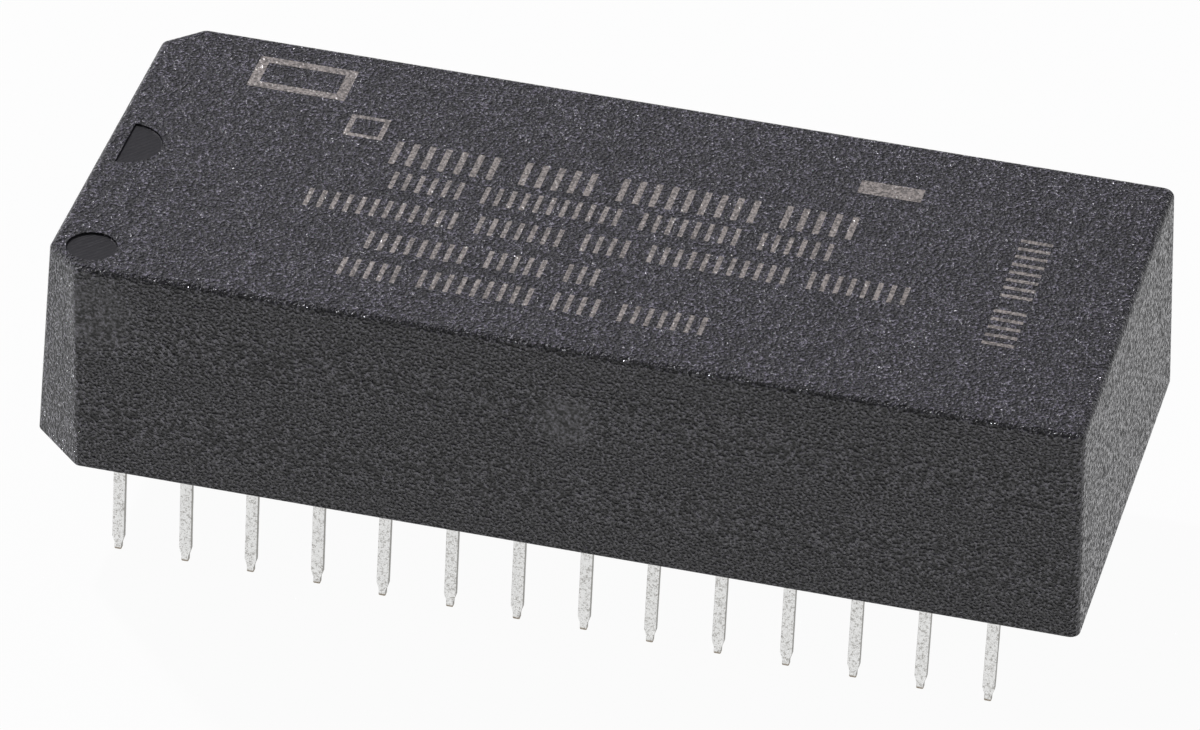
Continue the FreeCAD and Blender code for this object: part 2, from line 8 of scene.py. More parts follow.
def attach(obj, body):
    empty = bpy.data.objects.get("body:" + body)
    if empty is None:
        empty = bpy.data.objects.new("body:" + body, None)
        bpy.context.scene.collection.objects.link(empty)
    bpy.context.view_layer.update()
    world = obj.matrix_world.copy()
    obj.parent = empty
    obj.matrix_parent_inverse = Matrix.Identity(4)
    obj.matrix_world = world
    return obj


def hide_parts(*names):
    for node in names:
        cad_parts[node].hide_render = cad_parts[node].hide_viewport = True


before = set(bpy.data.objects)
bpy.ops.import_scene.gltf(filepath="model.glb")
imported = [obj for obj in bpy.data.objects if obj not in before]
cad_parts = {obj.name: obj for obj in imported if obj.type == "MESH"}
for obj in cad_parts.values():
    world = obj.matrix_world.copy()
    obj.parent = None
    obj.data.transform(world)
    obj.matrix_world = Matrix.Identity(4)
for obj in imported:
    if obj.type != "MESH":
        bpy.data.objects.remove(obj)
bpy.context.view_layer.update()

# Studio
# The module stands on its lead tips on a glowing sheet of white card, inside a tent that is dark towards
# the photographer. A dim softbox and a small lamp hang behind it and pick out the grain of its top.
# A third lamp stands low at its left end.

FLOOR_GLOW = 0.96
TOWARDS_CAMERA = (0.175, -0.82, 0.545)
CAMERA_AIM = (-0.000974, 0.003367, 0.00430)
CAMERA_DISTANCE = 0.35341

scene = bpy.context.scene
scene.view_settings.view_transform = "Standard"


def add_node(tree, kind, inputs=(), **settings):
    """Add a node with its settings and inputs. An input that is a socket is linked."""
    made = tree.nodes.new(kind)
    for name, value in settings.items():
        setattr(made, name, value)
    for name, value in dict(inputs).items():
        socket = made.inputs[name]
        if isinstance(value, bpy.types.NodeSocket):
            tree.links.new(value, socket)
        else:
            socket.default_value = value
    return made


def new_material(name):
    """Return a material's node tree, its surface shader and the object's own coordinates."""
    material = bpy.data.materials.new(name)
    material.use_nodes = True
    tree = material.node_tree
    coordinates = add_node(tree, "ShaderNodeTexCoord").outputs["Object"]
    return material, tree, tree.nodes["Principled BSDF"], coordinates


def ramp(tree, factor, low, high, start=0.0, end=1.0):
    """Blend from one colour to another as a factor goes from start to end."""
    made = add_node(tree, "ShaderNodeValToRGB", {"Fac": factor})
    for stop, place, colour in zip(made.color_ramp.elements, (start, end), (low, high)):
        stop.position = place
        stop.color = (*colour, 1)
    return made.outputs["Color"]


def arithmetic(tree, operation, *terms):
    """Sum, product or other plain operation on sockets and numbers."""
    return add_node(tree, "ShaderNodeMath", dict(enumerate(terms)), operation=operation).outputs["Value"]


def relief(tree, surface, height, distance, strength=1.0):
    """Raise a surface's normal by a height factor."""
    bump = add_node(tree, "ShaderNodeBump", {"Height": height, "Distance": distance, "Strength": strength})
    tree.links.new(bump.outputs["Normal"], surface.inputs["Normal"])


def speckle(tree, coordinates, scale, detail=2.0, roughness=0.5):
    """Noise of a scale given as cells in a metre."""
    return add_node(tree, "ShaderNodeTexNoise", {
        "Vector": coordinates, "Scale": scale, "Detail": detail, "Roughness": roughness,
    }).outputs["Fac"]


def add_object(name, mesh, *materials):
    """Put a mesh in the scene under a name, with its materials."""
    made = bpy.data.objects.new(name, mesh)
    scene.collection.objects.link(made)
    for material in materials:
        mesh.materials.append(material)
    return made


card, tree, surface, coordinates = new_material("white_card")
fibre = speckle(tree, coordinates, 900, 4.0)
surface.inputs["Roughness"].default_value = 0.9
surface.inputs["Specular IOR Level"].default_value = 0.1
tree.links.new(ramp(tree, fibre, (0.80, 0.80, 0.80), (0.84, 0.84, 0.84)), surface.inputs["Base Color"])
relief(tree, surface, fibre, 0.00002)
rays = add_node(tree, "ShaderNodeLightPath")
glow = add_node(tree, "ShaderNodeEmission", {"Color": (1, 1, 1, 1), "Strength": 1.0})
eye_or_gloss = arithmetic(tree, "MAXIMUM", rays.outputs["Is Camera Ray"], rays.outputs["Is Glossy Ray"])
blend = add_node(tree, "ShaderNodeMixShader", {
    0: arithmetic(tree, "MULTIPLY", eye_or_gloss, FLOOR_GLOW), 1: surface.outputs["BSDF"],
    2: glow.outputs["Emission"],
})
tree.links.new(blend.outputs["Shader"], tree.nodes["Material Output"].inputs["Surface"])

sheet = bmesh.new()
bmesh.ops.create_grid(sheet, x_segments=8, y_segments=8, size=1.5)
mesh = bpy.data.meshes.new("floor")
sheet.to_mesh(mesh)
sheet.free()
floor = add_object("floor", mesh, card)

world = bpy.data.worlds.new("tent")
scene.world = world
world.use_nodes = True
tree = world.node_tree
direction = add_node(tree, "ShaderNodeTexCoord").outputs["Generated"]
facing = add_node(tree, "ShaderNodeVectorMath", {0: direction, 1: TOWARDS_CAMERA}, operation="DOT_PRODUCT")
tent = ramp(tree, facing.outputs["Value"], (0.26, 0.26, 0.29), (0.07, 0.07, 0.07), 0.35, 0.9)
rays = add_node(tree, "ShaderNodeLightPath")
white = add_node(tree, "ShaderNodeMixRGB", {
    "Fac": rays.outputs["Is Camera Ray"], "Color1": tent, "Color2": (1, 1, 1, 1),
})
tree.links.new(white.outputs["Color"], tree.nodes["Background"].inputs["Color"])
tree.nodes["Background"].inputs["Strength"].default_value = 1.0


def hang_lamp(name, place, size, power, colour):
    """Square lamp at a place, turned to face the module."""
    light = bpy.data.lights.new(name, "AREA")
    light.shape = "SQUARE"
    light.size = size
    light.energy = power
    light.color = colour
    lamp = bpy.data.objects.new(name, light)
    lamp.location = place
    lamp.rotation_euler = (-Vector(place)).to_track_quat("-Z", "Y").to_euler()
    scene.collection.objects.link(lamp)


hang_lamp("softbox", (-0.10, 0.44, 0.32), 0.30, 0.15, (0.95, 0.91, 1.0))
hang_lamp("grain_lamp", (-0.30, 0.30, 0.40), 0.03, 1.9, (0.97, 0.95, 1.0))
hang_lamp("left_lamp", (-0.50, 0.0, 0.006), 0.01, 1.1, (0.95, 0.96, 1.0))

azimuth, elevation, roll = map(math.radians, (12.058, 33.024, 2.980))
back = Vector((math.sin(azimuth) * math.cos(elevation), -math.cos(azimuth) * math.cos(elevation),
               math.sin(elevation)))
level = (-back).cross(Vector((0, 0, 1))).normalized()
upright = level.cross(-back)
right = level * math.cos(roll) + upright * math.sin(roll)
up = upright * math.cos(roll) - level * math.sin(roll)
lens = bpy.data.cameras.new("camera")
lens.sensor_width = 36.0
lens.lens = 282.17
camera = bpy.data.objects.new("camera", lens)
camera.matrix_world = Matrix((right, up, back)).transposed().to_4x4()
camera.location = Vector(CAMERA_AIM) + back * CAMERA_DISTANCE
scene.collection.objects.link(camera)
scene.camera = camera

# Lead frame and leads
# Each of the 28 leads is stamped from thin nickel-iron strip and plated with matte tin. It bends down at
# the package's side. Its wide shoulder ends at the board, and its narrow blade with a sheared tip goes
# through. Inside the package a finger runs from each lead to the chip.

MM = 0.001
PINS_PER_SIDE = 14
LEAD_PITCH = 2.54
ROW_HALF_SPACING = 7.62
FRAME_LEVEL = 6.50
STRIP_HALF = 0.125
BEND_MIDDLE = 0.375
BEND_LEVEL = FRAME_LEVEL - BEND_MIDDLE
SHOULDER_HALF = 0.70
BLADE_HALF = 0.23
PACKAGE_SIDE = 7.005
FINGER_START = PACKAGE_SIDE - 0.50
FINGER_STRAIGHT = 0.90
FINGER_HALF = 0.20
FINGERS_AT_END = 3
SIDE_TIP_PITCH = 1.30
SIDE_TIP, SIDE_KNEE = 3.70, 4.50
END_TIP_PITCH = 0.70
END_TIP, END_KNEE = 5.50, 6.30


def add_loop(shape, points):
    """Add the points of one ring."""
    return [shape.verts.new(point) for point in points]


def bridge(shape, lower, upper, material=0):
    """Join two rings of the same number of points with a band of faces."""
    for i in range(len(lower)):
        face = shape.faces.new((lower[i - 1], lower[i], upper[i], upper[i - 1]))
        face.material_index = material
        face.smooth = True


def to_mesh(shape, name, sharp_angle=40):
    """Turn a shape in millimetres into a mesh in metres, with its faces outwards."""
    bmesh.ops.recalc_face_normals(shape, faces=shape.faces)
    bmesh.ops.scale(shape, vec=(MM, MM, MM), verts=shape.verts)
    mesh = bpy.data.meshes.new(name)
    shape.to_mesh(mesh)
    shape.free()
    mesh.set_sharp_from_angle(angle=math.radians(sharp_angle))
    return mesh


def strip_ring(half_width, half_thickness, outer_round=0.045, inner_round=0.02):
    """Corners of a stamped strip's section, rolled over on the outer side and crisper on the inner."""
    ring = []
    for side_x, side_v, size in ((1, 1, outer_round), (-1, 1, outer_round),
                                 (-1, -1, inner_round), (1, -1, inner_round)):
        steps = (0, 45, 90) if side_x == side_v else (90, 45, 0)
        for step in steps:
            turn = math.radians(step)
            ring.append((side_x * (half_width - size + size * math.cos(turn)),
                         side_v * (half_thickness - size + size * math.sin(turn))))
    return ring


def make_lead():
    """One lead beyond its finger. Its own origin is at the bend's lower end."""
    shape = bmesh.new()
    rings = []
    for run in (0.74, 0.49, 0.24, 0.12):
        rings.append(((0, run + BEND_MIDDLE, BEND_MIDDLE), 0, SHOULDER_HALF, STRIP_HALF))
    for turn in range(0, 91, 15):
        angle = math.radians(turn)
        middle = (0, BEND_MIDDLE * (1 - math.sin(angle)), BEND_MIDDLE * math.cos(angle))
        rings.append((middle, angle, SHOULDER_HALF, STRIP_HALF))
    shoulder = [(drop, SHOULDER_HALF) for drop in (0.6, 1.2, 1.8, 2.2, 2.275)]
    shoulder_corner = [(2.385, 0.62), (2.425, 0.55), (2.427, 0.30), (2.45, 0.25), (2.51, BLADE_HALF)]
    blade = [(2.6 + 0.2 * step, BLADE_HALF) for step in range(15)]
    taper = [(5.60, 0.228), (5.63, 0.218), (5.86, 0.145), (5.90, 0.137)]
    stub = [(6.00, 0.135), (6.10, 0.135)]
    for drop, half_width in shoulder + shoulder_corner + blade + taper + stub:
        rings.append(((0, 0, -drop), math.pi / 2, half_width, STRIP_HALF))
    rings.append(((0, 0, -6.122), math.pi / 2, 0.128, STRIP_HALF - 0.01))
    loops = []
    for middle, angle, half_width, half_thickness in rings:
        outward = Vector((0, -math.sin(angle), math.cos(angle)))
        loops.append(add_loop(shape, [Vector(middle) + Vector((x, 0, 0)) + outward * v
                                      for x, v in strip_ring(half_width, half_thickness)]))
    for lower, upper in zip(loops, loops[1:]):
        bridge(shape, lower, upper)
    shape.faces.new(loops[0])
    shape.faces.new(loops[-1])
    return to_mesh(shape, "one_lead")


def lead_row_tree():
    """Geometry nodes that stand one lead in a row, each leaning a little its own way."""
    tree = bpy.data.node_groups.new("lead_row", "GeometryNodeTree")
    tree.interface.new_socket("Geometry", in_out="OUTPUT", socket_type="NodeSocketGeometry")
    for name, kind in (("Lead", "Geometry"), ("First lead", "Vector"), ("Lead pitch", "Float"),
                       ("Leads in the row", "Int"), ("Lean", "Float"), ("Plating waviness", "Float"),
                       ("Half turn", "Float"), ("Seed", "Int"), ("Tin plate", "Material")):
        tree.interface.new_socket(name, in_out="INPUT", socket_type="NodeSocket" + kind)
    given = tree.nodes.new("NodeGroupInput").outputs
    step = add_node(tree, "ShaderNodeCombineXYZ", {"X": given["Lead pitch"]})
    line = add_node(tree, "GeometryNodeMeshLine", {
        "Count": given["Leads in the row"], "Start Location": given["First lead"],
        "Offset": step.outputs["Vector"],
    }, mode="OFFSET")
    most = add_node(tree, "ShaderNodeCombineXYZ", {"X": given["Lean"], "Y": given["Lean"]})
    least = add_node(tree, "ShaderNodeVectorMath", {
        0: most.outputs["Vector"], "Scale": -1.0,
    }, operation="SCALE")
    lean = add_node(tree, "FunctionNodeRandomValue", {
        0: least.outputs["Vector"], 1: most.outputs["Vector"], "Seed": given["Seed"],
    }, data_type="FLOAT_VECTOR")
    stand = add_node(tree, "GeometryNodeInstanceOnPoints", {
        "Points": line.outputs["Mesh"], "Instance": given["Lead"], "Rotation": lean.outputs["Value"],
    })
    turn = add_node(tree, "ShaderNodeCombineXYZ", {"Z": given["Half turn"]})
    turned = add_node(tree, "GeometryNodeTransform", {
        "Geometry": stand.outputs["Instances"], "Rotation": turn.outputs["Vector"],
    })
    real = add_node(tree, "GeometryNodeRealizeInstances", {"Geometry": turned.outputs["Geometry"]})
    ripple = add_node(tree, "ShaderNodeTexNoise", {"Scale": 2600.0, "Detail": 1.0})
    centred = add_node(tree, "ShaderNodeVectorMath", {0: ripple.outputs["Color"], 1: (0.5, 0.5, 0.5)},
                       operation="SUBTRACT")
    level = add_node(tree, "ShaderNodeVectorMath", {0: centred.outputs["Vector"], 1: (1, 1, 0)},
                     operation="MULTIPLY")
    offset = add_node(tree, "ShaderNodeVectorMath", {
        0: level.outputs["Vector"], "Scale": given["Plating waviness"],
    }, operation="SCALE")
    wavy = add_node(tree, "GeometryNodeSetPosition", {
        "Geometry": real.outputs["Geometry"], "Offset": offset.outputs["Vector"],
    })
    plated = add_node(tree, "GeometryNodeSetMaterial", {
        "Geometry": wavy.outputs["Geometry"], "Material": given["Tin plate"],
    })
    output = tree.nodes.new("NodeGroupOutput")
    tree.links.new(plated.outputs["Geometry"], output.inputs["Geometry"])
    return tree


def add_strip(shape, middle_line, half_width, low, high):
    """Flat strip along a line in plan, mitred at its corners, between two levels."""
    sides = [[], []]
    for i, point in enumerate(middle_line):
        before = (point - middle_line[i - 1]).normalized() if i else None
        after = (middle_line[i + 1] - point).normalized() if i + 1 < len(middle_line) else None
        before, after = before or after, after or before
        across = Vector((-before.y - after.y, before.x + after.x)).normalized()
        reach = half_width / across.dot(Vector((-after.y, after.x)))
        sides[0].append(point + across * reach)
        sides[1].append(point - across * reach)
    plan = sides[0] + sides[1][::-1]
    bottom = add_loop(shape, [(p.x, p.y, low) for p in plan])
    top = add_loop(shape, [(p.x, p.y, high) for p in plan])
    bridge(shape, bottom, top)
    count = len(middle_line)
    for loop in (bottom, top):
        for i in range(count - 1):
            shape.faces.new((loop[i], loop[i + 1], loop[2 * count - 2 - i], loop[2 * count - 1 - i]))


def add_fingers(shape, turned):
    """Fingers of one row, from the package's side to the ends beside the die paddle."""
    for i in range(PINS_PER_SIDE):
        step = i - (PINS_PER_SIDE - 1) / 2
        root = step * LEAD_PITCH
        from_end = min(i, PINS_PER_SIDE - 1 - i)
        if from_end < FINGERS_AT_END:
            side = -1 if i == from_end else 1
            tip_y = -(0.80 + (from_end + 1) * END_TIP_PITCH)
            knee, tip = Vector((side * END_KNEE, tip_y)), Vector((side * END_TIP, tip_y))
        else:
            tip_x = step * SIDE_TIP_PITCH
            knee, tip = Vector((tip_x, -SIDE_KNEE)), Vector((tip_x, -SIDE_TIP))
        line = [Vector((root, -FINGER_START)), Vector((root, FINGER_STRAIGHT - PACKAGE_SIDE)), knee, tip]
        if turned:
            line = [-point for point in line]
        add_strip(shape, line, FINGER_HALF, FRAME_LEVEL - STRIP_HALF, FRAME_LEVEL + STRIP_HALF)


def spread(tree, factor, low, high, start=0.0, end=1.0):
    """Map a factor between start and end to a value between low and high."""
    return add_node(tree, "ShaderNodeMapRange", {
        "Value": factor, "From Min": start, "From Max": end, "To Min": low, "To Max": high,
    }).outputs["Result"]


def normal_along(tree, axis):
    """One axis of the direction that the surface faces."""
    parts = add_node(tree, "ShaderNodeSeparateXYZ", {
        "Vector": add_node(tree, "ShaderNodeNewGeometry").outputs["Normal"],
    })
    return parts.outputs[axis]


tin_plate, tree, surface, coordinates = new_material("tin_plate")
crystals = speckle(tree, coordinates, 22000, 2.0, 0.6)
stains = speckle(tree, coordinates, 9000, 2.0, 0.6)
mottled = arithmetic(tree, "MULTIPLY", crystals, stains)
height = add_node(tree, "ShaderNodeSeparateXYZ", {"Vector": coordinates}).outputs["Z"]
# Painted shade: faces that look along X, which are the leads' thin sides and their rounded edges, are
# painted dark grey.
sideways = arithmetic(tree, "ABSOLUTE", normal_along(tree, "X"))
painted_side_shade = add_node(tree, "ShaderNodeMixRGB", {
    "Fac": spread(tree, sideways, 0.0, 0.85, 0.45, 0.8),
    "Color1": ramp(tree, mottled, (0.44, 0.43, 0.41), (0.88, 0.88, 0.87), 0.15, 0.25),
    "Color2": (0.20, 0.19, 0.17, 1),
})
cut_end = add_node(tree, "ShaderNodeMixRGB", {
    "Fac": spread(tree, height, 0.9, 0.0, 0.00004, 0.00011), "Color1": painted_side_shade.outputs["Color"],
    "Color2": (0.22, 0.17, 0.11, 1),
})
tree.links.new(cut_end.outputs["Color"], surface.inputs["Base Color"])
surface.inputs["Metallic"].default_value = 1.0
tree.links.new(spread(tree, crystals, 0.30, 0.50, 0.3, 0.7), surface.inputs["Roughness"])
relief(tree, surface, crystals, 0.00003, 0.8)

row_tree = lead_row_tree()
row_sockets = {item.name: item.identifier for item in row_tree.interface.items_tree
               if item.in_out == "INPUT"}
for row_name, half_turn, seed, first_pin in (("near_leads", 0.0, 4, 1), ("far_leads", math.pi, 9, 15)):
    leads = add_object(row_name, make_lead())
    standing = leads.modifiers.new("row", "NODES")
    standing.node_group = row_tree
    first = (-(PINS_PER_SIDE - 1) / 2 * LEAD_PITCH * MM, -ROW_HALF_SPACING * MM, BEND_LEVEL * MM)
    for name, value in {
        "First lead": first, "Lead pitch": LEAD_PITCH * MM, "Leads in the row": PINS_PER_SIDE,
        "Lean": math.radians(0.3), "Plating waviness": 0.000012, "Half turn": half_turn, "Seed": seed,
        "Tin plate": tin_plate,
    }.items():
        standing[row_sockets[name]] = value
    evaluated = leads.evaluated_get(bpy.context.evaluated_depsgraph_get())
    row = bmesh.new()
    row.from_mesh(bpy.data.meshes.new_from_object(evaluated))
    bmesh.ops.scale(row, vec=(1 / MM, 1 / MM, 1 / MM), verts=row.verts)
    add_fingers(row, turned=half_turn > 0)
    leads.modifiers.clear()
    leads.data = to_mesh(row, row_name)
    leads.data.materials.clear()
    leads.data.materials.append(tin_plate)
    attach(leads, "root")
    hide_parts(*[f"pin_{number:02d}" for number in range(first_pin, first_pin + PINS_PER_SIDE)])


def dress(material, *nodes):
    """Give carried-over CAD nodes their finish."""
    for node in nodes:
        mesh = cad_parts[node].data
        mesh.materials.clear()
        mesh.materials.append(material)


def rolled_metal(name, dark, light, roughness, streak):
    """Rolled or drawn metal sheet, with fine streaks along X."""
    material, tree, surface, coordinates = new_material(name)
    drawn = add_node(tree, "ShaderNodeMapping", {"Vector": coordinates, "Scale": (0.08, 1, 1)})
    lines = speckle(tree, drawn.outputs["Vector"], streak, 4.0, 0.6)
    surface.inputs["Metallic"].default_value = 1.0
    tree.links.new(ramp(tree, lines, dark, light, 0.3, 0.7), surface.inputs["Base Color"])
    tree.links.new(spread(tree, lines, roughness, roughness + 0.15, 0.3, 0.7), surface.inputs["Roughness"])
    relief(tree, surface, lines, 0.000004)
    return material


frame_alloy = rolled_metal("frame_alloy", (0.53, 0.52, 0.49), (0.68, 0.67, 0.63), 0.25, 9000)
dress(frame_alloy, "die_paddle", "battery_lead_positive", "battery_lead_negative")

# Chip and bond wires
# The die is a polished slice of silicon, blue-grey with a faint pattern of its circuit blocks.
# Thirty gold wires are welded from its edge to the fingers' ends.

silicon, tree, surface, coordinates = new_material("silicon")
blocks = add_node(tree, "ShaderNodeTexBrick", {
    "Vector": coordinates, "Scale": 1600.0, "Color1": (0.10, 0.12, 0.18, 1), "Color2": (0.20, 0.19, 0.23, 1),
    "Mortar": (0.30, 0.31, 0.36, 1), "Mortar Size": 0.03,
})
tree.links.new(blocks.outputs["Color"], surface.inputs["Base Color"])
tree.links.new(spread(tree, blocks.outputs["Fac"], 0.12, 0.25), surface.inputs["Roughness"])
relief(tree, surface, blocks.outputs["Fac"], 0.000002)
surface.inputs["Metallic"].default_value = 0.6
dress(silicon, "die")
dress(rolled_metal("gold_wire", (0.80, 0.52, 0.16), (0.92, 0.66, 0.26), 0.2, 20000), "bond_wires")

# Chip package
# Black filled epoxy is moulded round the lead frame and the chip. Its walls lean in from the frame's
# level, and three round ejector marks and a fine matte skin show on its underside.

moulding, tree, surface, coordinates = new_material("moulding_epoxy")
skin = speckle(tree, coordinates, 6000, 4.0, 0.6)
flow = speckle(tree, coordinates, 350, 2.0)
tree.links.new(ramp(tree, flow, (0.020, 0.020, 0.021), (0.034, 0.034, 0.035), 0.3, 0.7),
               surface.inputs["Base Color"])
tree.links.new(spread(tree, skin, 0.45, 0.7, 0.3, 0.7), surface.inputs["Roughness"])
relief(tree, surface, skin, 0.000012, 0.8)
dress(moulding, "ic_body")

# Lithium button cell
# A nickel-plated steel can is crimped over a plastic gasket and a steel lid. Inside are a lithium disc,
# a fleece separator and a pressed black cathode. Two nickel tabs are spot-welded to it.

dress(rolled_metal("plated_steel", (0.50, 0.50, 0.49), (0.70, 0.69, 0.66), 0.22, 7000),
      "cell_can", "cell_lid")
dress(rolled_metal("nickel_strip", (0.52, 0.51, 0.48), (0.70, 0.68, 0.63), 0.30, 9000),
      "cell_tab_positive", "cell_tab_negative")
dress(rolled_metal("lithium", (0.50, 0.50, 0.51), (0.68, 0.68, 0.68), 0.45, 4000), "cell_anode")


def filled(name, dark, light, roughness, grain, depth):
    """Plain solid with an even grain, such as fleece, a pressed pellet or a moulded gasket."""
    material, tree, surface, coordinates = new_material(name)
    grains = speckle(tree, coordinates, grain, 3.0, 0.6)
    tree.links.new(ramp(tree, grains, dark, light, 0.3, 0.7), surface.inputs["Base Color"])
    tree.links.new(spread(tree, grains, roughness, roughness + 0.12, 0.3, 0.7), surface.inputs["Roughness"])
    relief(tree, surface, grains, depth)
    return material


for node, name, dark, light, roughness, grain, depth in (
    ("cell_gasket", "gasket_plastic", (0.56, 0.56, 0.53), (0.64, 0.64, 0.61), 0.3, 3000, 0.000003),
    ("cell_separator", "separator_fleece", (0.66, 0.66, 0.64), (0.84, 0.84, 0.82), 0.85, 9000, 0.00002),
    ("cell_cathode", "cathode_mix", (0.012, 0.012, 0.012), (0.03, 0.03, 0.03), 0.7, 8000, 0.00001),
):
    dress(filled(name, dark, light, roughness, grain, depth), node)

# Cap
# The deep cap of black plastic is moulded in a spark-eroded mould, which leaves its grain. It leans in to
# the top and is bevelled at the pin 1 end, where a round dimple and a half-round mark are sunk. A laser
# has marked the top with plain bars, frames and a block that mean nothing.

RIM_LEVEL = 4.30
CAP_HEIGHT = 8.50
CAP_HALF_LENGTH = 19.84
CAP_HALF_WIDTH = 9.07
END_SLOPE = math.tan(math.radians(3.05))
SIDE_SLOPE = math.tan(math.radians(1.70))
WALL = 0.90
BEVEL_REACH = CAP_HALF_LENGTH + CAP_HALF_WIDTH - 2.02
ROUND_STEPS = 6
SQUARE_ROUND = 0.40
BEVEL_ROUND = 0.30
TOP_ROUND = 0.25
NOTCH_RADIUS = 1.40
NOTCH_X = -18.687
DIMPLE_RADIUS = 0.94
DIMPLE_X, DIMPLE_Y = -17.847, -7.278
GRAINED, SUNK, MARKED = range(3)
RECESS_EDGE = ((0.030, 0.0), (0.020, 0.0), (0.006, 0.006), (0.0, 0.02), (-0.01, 0.06), (-0.02, 0.075),
               (-0.04, 0.08))
RIM_OF_RECESS = 3
GRAIN_SCALE = 9500.0
CRATER_SCALE = 9000.0
END_GRAIN = 0.70
WORN_SPOTS = (((-0.0173, -0.0090, 0.0110), 0.0016), ((0.0004, -0.0090, 0.0098), 0.0011))


def cap_ring(height, inset, square_round, bevel_round):
    """The cap's outline at a height above its rim, with its six corners rounded."""
    half_x = CAP_HALF_LENGTH - height * END_SLOPE - inset
    half_y = CAP_HALF_WIDTH - height * SIDE_SLOPE - inset
    reach = BEVEL_REACH - inset * math.sqrt(2)
    corners = [Vector(corner) for corner in (
        (half_x, -half_y), (half_x, half_y), (half_y - reach, half_y),
        (-half_x, reach - half_x), (-half_x, half_x - reach), (half_y - reach, -half_y),
    )]
    ring = []
    for i, corner in enumerate(corners):
        size = square_round if i < 2 else bevel_round
        before = (corners[i - 1] - corner).normalized()
        after = (corners[(i + 1) % 6] - corner).normalized()
        half_turn = before.angle(after) / 2
        hub = corner + (before + after).normalized() * size / math.sin(half_turn)
        start = corner + before * size / math.tan(half_turn) - hub
        sweep = math.pi - 2 * half_turn
        for step in range(ROUND_STEPS + 1):
            spoke = Matrix.Rotation(sweep * step / ROUND_STEPS, 2) @ start
            ring.append((*(hub + spoke), RIM_LEVEL + height))
    return ring


def half_round(grow):
    """Outline of the half-round mark, moved out by a distance."""
    radius = NOTCH_RADIUS + grow
    limit = math.acos(-grow / radius)
    arc = [(radius * math.cos(limit * (2 * step / 32 - 1)), radius * math.sin(limit * (2 * step / 32 - 1)))
           for step in range(33)]
    chord = [(arc[-1][0], arc[-1][1] * (1 - 2 * step / 8)) for step in range(1, 8)]
    return [(NOTCH_X + x, y) for x, y in arc + chord]


def dimple(grow):
    """Outline of the round dimple, moved out by a distance."""
    radius = DIMPLE_RADIUS + grow
    turns = [math.tau * step / 48 for step in range(48)]
    return [(DIMPLE_X + radius * math.cos(turn), DIMPLE_Y + radius * math.sin(turn)) for turn in turns]


def block(x, y, half_x, half_y):
    """Corners of a plain rectangle about a point."""
    return [(x - half_x, y - half_y), (x + half_x, y - half_y), (x + half_x, y + half_y),
            (x - half_x, y + half_y)]


def fill(shape, loops, material):
    """Fill the flat area between loops of points with faces that look up."""
    edges = []
    for loop in loops:
        for i in range(len(loop)):
            edges.append(shape.edges.get((loop[i - 1], loop[i])) or shape.edges.new((loop[i - 1], loop[i])))
    made = bmesh.ops.triangle_fill(shape, edges=edges, use_beauty=True, normal=(0, 0, 1))
    for face in made["geom"]:
        if isinstance(face, bmesh.types.BMFace):
            face.material_index = material
            face.smooth = False


def mark_outlines():
    """Plain laser marks as pairs of an outline and the outline left bare inside it, if any."""
    marks = []
    for y, start, pitch, stroke, half_height, groups in (
        (2.35, -8.9, 0.62, 0.24, 0.80, (7, 5, 9, 5)),
        (0.45, -8.5, 0.50, 0.18, 0.60, (6, 11, 8, 6)),
        (-1.60, -11.2, 0.50, 0.18, 0.60, (12, 7, 4, 11, 8)),
        (-3.80, -8.3, 0.50, 0.18, 0.60, (8, 5, 3)),
        (-5.80, -8.8, 0.50, 0.18, 0.60, (5, 9, 4, 7)),
    ):
        x = start
        for count in groups:
            for _ in range(count):
                marks.append((block(x, y, stroke / 2, half_height), None))
                x += pitch
            x += pitch
    for step in range(14):
        if step != 8:
            marks.append((block(15.2, 3.4 - 0.55 * step, 0.60, 0.10), None))
    marks.append((block(-13.6, 6.4, 1.9, 1.1), block(-13.6, 6.4, 1.5, 0.7)))
    marks.append((block(-10.4, 3.75, 0.75, 0.75), block(-10.4, 3.75, 0.55, 0.55)))
    marks.append((block(9.3, 5.3, 1.2, 0.45), None))
    return marks


